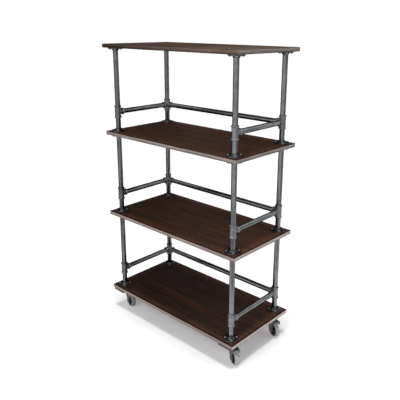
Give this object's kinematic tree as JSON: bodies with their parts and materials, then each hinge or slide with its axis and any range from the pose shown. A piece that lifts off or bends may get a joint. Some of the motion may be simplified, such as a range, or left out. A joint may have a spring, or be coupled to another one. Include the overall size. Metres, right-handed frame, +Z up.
{
  "type": "bar cart on wheels",
  "caption": "Rolling open shelf cart of iron pipe posts, floor flanges, beaded tees and guard rails carrying stained wooden boards, on braked swivel casters.",
  "frame": {"origin": "on the floor under the middle of the cart", "axes": "+X along the length to the right, +Y to the back, where the guard rail is, +Z up"},
  "size_m": [0.9282, 0.46, 1.517],
  "materials": {
    "stained_wood": "dark brown stain in satin lacquer, paler worn edges",
    "iron_pipe": "gunmetal grey pipe with a soft gloss",
    "iron_fittings": "cast surface, gunmetal grey, rubbed on the beads",
    "bright_bolts": "zinc plated",
    "caster_steel": "dull zinc on pressed steel",
    "wheel_centre": "moulded black",
    "grey_tyre": "matt light grey, scuffed",
    "brake_pedal": "black pressed steel"
  },
  "bodies": {
    "cart_frame": {"bottom_shelf": "stained_wood", "lower_shelf": "stained_wood", "upper_shelf": "stained_wood", "top_shelf": "stained_wood", "lower_bay_nipples": "iron_pipe", "lower_bay_risers": "iron_pipe", "lower_bay_foot_flanges": "iron_fittings", "lower_bay_head_flanges": "iron_fittings", "lower_bay_front_tees": "iron_fittings", "lower_bay_corner_tees": "iron_fittings", "lower_bay_left_rail": "iron_pipe", "lower_bay_right_rail": "iron_pipe", "lower_bay_back_rail": "iron_pipe", "middle_bay_nipples": "iron_pipe", "middle_bay_risers": "iron_pipe", "middle_bay_foot_flanges": "iron_fittings", "middle_bay_head_flanges": "iron_fittings", "middle_bay_front_tees": "iron_fittings", "middle_bay_corner_tees": "iron_fittings", "middle_bay_left_rail": "iron_pipe", "middle_bay_right_rail": "iron_pipe", "middle_bay_back_rail": "iron_pipe", "upper_bay_nipples": "iron_pipe", "upper_bay_risers": "iron_pipe", "upper_bay_foot_flanges": "iron_fittings", "upper_bay_head_flanges": "iron_fittings", "upper_bay_front_tees": "iron_fittings", "upper_bay_corner_tees": "iron_fittings", "upper_bay_left_rail": "iron_pipe", "upper_bay_right_rail": "iron_pipe", "upper_bay_back_rail": "iron_pipe", "flange_through_bolts": "bright_bolts", "wood_screws": "bright_bolts", "caster_pads": "stained_wood", "swivel_kingpins": "caster_steel", "swivel_race_rings": "caster_steel", "front_left_caster_plate": "caster_steel", "front_right_caster_plate": "caster_steel", "back_left_caster_plate": "caster_steel", "back_right_caster_plate": "caster_steel"},
    "front_left_caster_swivel": {"front_left_caster_fork": "caster_steel", "front_left_caster_axle": "bright_bolts"},
    "front_left_caster_wheel": {"front_left_caster_hub": "wheel_centre", "front_left_caster_tyre": "grey_tyre"},
    "front_left_caster_brake": {"front_left_caster_brake_pedal": "brake_pedal"},
    "front_right_caster_swivel": {"front_right_caster_fork": "caster_steel", "front_right_caster_axle": "bright_bolts"},
    "front_right_caster_wheel": {"front_right_caster_hub": "wheel_centre", "front_right_caster_tyre": "grey_tyre"},
    "front_right_caster_brake": {"front_right_caster_brake_pedal": "brake_pedal"},
    "back_left_caster_swivel": {"back_left_caster_fork": "caster_steel", "back_left_caster_axle": "bright_bolts"},
    "back_left_caster_wheel": {"back_left_caster_hub": "wheel_centre", "back_left_caster_tyre": "grey_tyre"},
    "back_left_caster_brake": {"back_left_caster_brake_pedal": "brake_pedal"},
    "back_right_caster_swivel": {"back_right_caster_fork": "caster_steel", "back_right_caster_axle": "bright_bolts"},
    "back_right_caster_wheel": {"back_right_caster_hub": "wheel_centre", "back_right_caster_tyre": "grey_tyre"},
    "back_right_caster_brake": {"back_right_caster_brake_pedal": "brake_pedal"}
  },
  "joints": [
    {"name": "front_left_swivel", "type": "hinge", "parent": "cart_frame", "child": "front_left_caster_swivel", "pos_m": [-0.402, -0.164, 0.104], "axis": [0, 0, 1], "continuous": true},
    {"name": "front_left_roll", "type": "hinge", "parent": "front_left_caster_swivel", "child": "front_left_caster_wheel", "pos_m": [-0.36972, -0.17086, 0.0375], "axis": [0.2079, 0.9781, 0], "continuous": true},
    {"name": "front_left_brake_press", "type": "hinge", "parent": "front_left_caster_swivel", "child": "front_left_caster_brake", "pos_m": [-0.35211, -0.1746, 0.08], "axis": [0.2079, 0.9781, 0], "range_deg": [0, 18]},
    {"name": "front_right_swivel", "type": "hinge", "parent": "cart_frame", "child": "front_right_caster_swivel", "pos_m": [0.402, -0.164, 0.104], "axis": [0, 0, 1], "continuous": true},
    {"name": "front_right_roll", "type": "hinge", "parent": "front_right_caster_swivel", "child": "front_right_caster_wheel", "pos_m": [0.43166, -0.17847, 0.0375], "axis": [0.4384, 0.8988, 0], "continuous": true},
    {"name": "front_right_brake_press", "type": "hinge", "parent": "front_right_caster_swivel", "child": "front_right_caster_brake", "pos_m": [0.44784, -0.18636, 0.08], "axis": [0.4384, 0.8988, 0], "range_deg": [0, 18]},
    {"name": "back_left_swivel", "type": "hinge", "parent": "cart_frame", "child": "back_left_caster_swivel", "pos_m": [-0.402, 0.164, 0.104], "axis": [0, 0, 1], "continuous": true},
    {"name": "back_left_roll", "type": "hinge", "parent": "back_left_caster_swivel", "child": "back_left_caster_wheel", "pos_m": [-0.37028, 0.1549, 0.0375], "axis": [0.2756, 0.9613, 0], "continuous": true},
    {"name": "back_left_brake_press", "type": "hinge", "parent": "back_left_caster_swivel", "child": "back_left_caster_brake", "pos_m": [-0.35298, 0.14994, 0.08], "axis": [0.2756, 0.9613, 0], "range_deg": [0, 18]},
    {"name": "back_right_swivel", "type": "hinge", "parent": "cart_frame", "child": "back_right_caster_swivel", "pos_m": [0.402, 0.164, 0.104], "axis": [0, 0, 1], "continuous": true},
    {"name": "back_right_roll", "type": "hinge", "parent": "back_right_caster_swivel", "child": "back_right_caster_wheel", "pos_m": [0.43339, 0.1538, 0.0375], "axis": [0.309, 0.9511, 0], "continuous": true},
    {"name": "back_right_brake_press", "type": "hinge", "parent": "back_right_caster_swivel", "child": "back_right_caster_brake", "pos_m": [0.4505, 0.14824, 0.08], "axis": [0.309, 0.9511, 0], "range_deg": [0, 18]}
  ]
}
